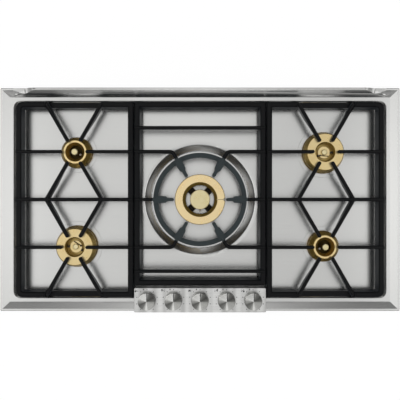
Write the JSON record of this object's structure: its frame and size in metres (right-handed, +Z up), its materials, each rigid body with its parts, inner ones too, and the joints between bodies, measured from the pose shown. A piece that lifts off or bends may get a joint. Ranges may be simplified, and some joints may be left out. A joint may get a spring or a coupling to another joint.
{
  "type": "gas cooktop",
  "caption": "Built-in stainless gas cooktop: cast-iron grates, brass ring burners, a central wok burner and front control knobs on a raised console.",
  "frame": {"origin": "centre of the underside of the burner box", "axes": "+Z up, +X to the right and -Y towards the user, where the control knobs are"},
  "size_m": [0.914, 0.51, 0.1075],
  "materials": {
    "tray_steel": "fine brushed stainless steel",
    "panel_steel": "brushed stainless steel",
    "knob_steel": "turned stainless steel with circular brushing",
    "spindle_steel": "machined steel",
    "valve_brass": "machined brass",
    "grate_iron": "matt black enamelled cast iron",
    "foot_rubber": "matt black rubber",
    "base_brass": "machined brass",
    "head_brass": "satin brass",
    "cap_brass": "satin brass",
    "electrode_ceramic": "white ceramic with a steel tip",
    "pipe_steel": "drawn steel tube",
    "box_steel": "galvanised sheet steel",
    "bracket_steel": "zinc-plated steel",
    "seal_rubber": "foam rubber",
    "module_plastic": "moulded black plastic"
  },
  "bodies": {
    "root": {"burner_base_left_front": "base_brass", "burner_base_left_rear": "base_brass", "burner_base_right_front": "base_brass", "burner_base_right_rear": "base_brass", "burner_base_wok": "base_brass", "burner_box": "box_steel", "burner_head_left_front": "head_brass", "burner_head_left_rear": "head_brass", "burner_head_right_front": "head_brass", "burner_head_right_rear": "head_brass", "cable_gland": "module_plastic", "clamp_brackets": "bracket_steel", "clamp_screws": "bracket_steel", "control_panel": "panel_steel", "flame_sensors": "electrode_ceramic", "gas_inlet": "valve_brass", "gas_manifold": "pipe_steel", "gas_pipe_wok": "pipe_steel", "gas_pipes_left": "pipe_steel", "gas_pipes_right": "pipe_steel", "gas_supply_pipe": "pipe_steel", "gas_valve_1": "valve_brass", "gas_valve_2": "valve_brass", "gas_valve_3": "valve_brass", "gas_valve_4": "valve_brass", "gas_valve_5": "valve_brass", "ignition_electrodes": "electrode_ceramic", "ignition_module": "module_plastic", "injectors": "valve_brass", "terminal_box": "module_plastic", "top_tray": "tray_steel", "valve_rail": "bracket_steel", "worktop_seal": "seal_rubber"},
    "tap_1": {"valve_plug_1": "valve_brass"},
    "control_1": {"knob_1": "knob_steel", "valve_spindle_1": "spindle_steel"},
    "tap_2": {"valve_plug_2": "valve_brass"},
    "control_2": {"knob_2": "knob_steel", "valve_spindle_2": "spindle_steel"},
    "tap_3": {"valve_plug_3": "valve_brass"},
    "control_3": {"knob_3": "knob_steel", "valve_spindle_3": "spindle_steel"},
    "tap_4": {"valve_plug_4": "valve_brass"},
    "control_4": {"knob_4": "knob_steel", "valve_spindle_4": "spindle_steel"},
    "tap_5": {"valve_plug_5": "valve_brass"},
    "control_5": {"knob_5": "knob_steel", "valve_spindle_5": "spindle_steel"},
    "left_grate": {"grate_left": "grate_iron", "grate_feet_left": "foot_rubber"},
    "centre_grate": {"grate_centre": "grate_iron", "grate_feet_centre": "foot_rubber"},
    "right_grate": {"grate_right": "grate_iron", "grate_feet_right": "foot_rubber"},
    "left_rear_cap": {"burner_cap_left_rear": "cap_brass"},
    "left_front_cap": {"burner_cap_left_front": "cap_brass"},
    "right_rear_cap": {"burner_cap_right_rear": "cap_brass"},
    "right_front_cap": {"burner_cap_right_front": "cap_brass"},
    "wok_cap": {"burner_cap_wok": "cap_brass"},
    "wok_ring": {"burner_head_wok": "head_brass"}
  },
  "joints": [
    {"name": "knob_1_turn", "type": "hinge", "parent": "root", "child": "tap_1", "pos_m": [-0.1196, -0.228, 0.06], "axis": [0, 0, 1], "range_deg": [0, 324]},
    {"name": "knob_1_push", "type": "slide", "parent": "tap_1", "child": "control_1", "axis": [0, 0, -1], "range_m": [0, 0.003], "stiffness_N_per_m": 1500, "springref_m": -0.004},
    {"name": "knob_2_turn", "type": "hinge", "parent": "root", "child": "tap_2", "pos_m": [-0.0598, -0.228, 0.06], "axis": [0, 0, 1], "range_deg": [0, 324]},
    {"name": "knob_2_push", "type": "slide", "parent": "tap_2", "child": "control_2", "axis": [0, 0, -1], "range_m": [0, 0.003], "stiffness_N_per_m": 1500, "springref_m": -0.004},
    {"name": "knob_3_turn", "type": "hinge", "parent": "root", "child": "tap_3", "pos_m": [0, -0.228, 0.06], "axis": [0, 0, 1], "range_deg": [0, 324]},
    {"name": "knob_3_push", "type": "slide", "parent": "tap_3", "child": "control_3", "axis": [0, 0, -1], "range_m": [0, 0.003], "stiffness_N_per_m": 1500, "springref_m": -0.004},
    {"name": "knob_4_turn", "type": "hinge", "parent": "root", "child": "tap_4", "pos_m": [0.0598, -0.228, 0.06], "axis": [0, 0, 1], "range_deg": [0, 324]},
    {"name": "knob_4_push", "type": "slide", "parent": "tap_4", "child": "control_4", "axis": [0, 0, -1], "range_m": [0, 0.003], "stiffness_N_per_m": 1500, "springref_m": -0.004},
    {"name": "knob_5_turn", "type": "hinge", "parent": "root", "child": "tap_5", "pos_m": [0.1196, -0.228, 0.06], "axis": [0, 0, 1], "range_deg": [0, 324]},
    {"name": "knob_5_push", "type": "slide", "parent": "tap_5", "child": "control_5", "axis": [0, 0, -1], "range_m": [0, 0.003], "stiffness_N_per_m": 1500, "springref_m": -0.004},
    {"name": "left_grate_lift", "type": "slide", "parent": "root", "child": "left_grate", "axis": [0, 0, 1], "range_m": [0, 0.15]},
    {"name": "centre_grate_lift", "type": "slide", "parent": "root", "child": "centre_grate", "axis": [0, 0, 1], "range_m": [0, 0.15]},
    {"name": "right_grate_lift", "type": "slide", "parent": "root", "child": "right_grate", "axis": [0, 0, 1], "range_m": [0, 0.15]},
    {"name": "left_rear_cap_lift", "type": "slide", "parent": "root", "child": "left_rear_cap", "axis": [0, 0, 1], "range_m": [0, 0.06]},
    {"name": "left_front_cap_lift", "type": "slide", "parent": "root", "child": "left_front_cap", "axis": [0, 0, 1], "range_m": [0, 0.06]},
    {"name": "right_rear_cap_lift", "type": "slide", "parent": "root", "child": "right_rear_cap", "axis": [0, 0, 1], "range_m": [0, 0.06]},
    {"name": "right_front_cap_lift", "type": "slide", "parent": "root", "child": "right_front_cap", "axis": [0, 0, 1], "range_m": [0, 0.06]},
    {"name": "wok_cap_lift", "type": "slide", "parent": "root", "child": "wok_cap", "axis": [0, 0, 1], "range_m": [0, 0.06]},
    {"name": "wok_ring_lift", "type": "slide", "parent": "root", "child": "wok_ring", "axis": [0, 0, 1], "range_m": [0, 0.06]}
  ]
}
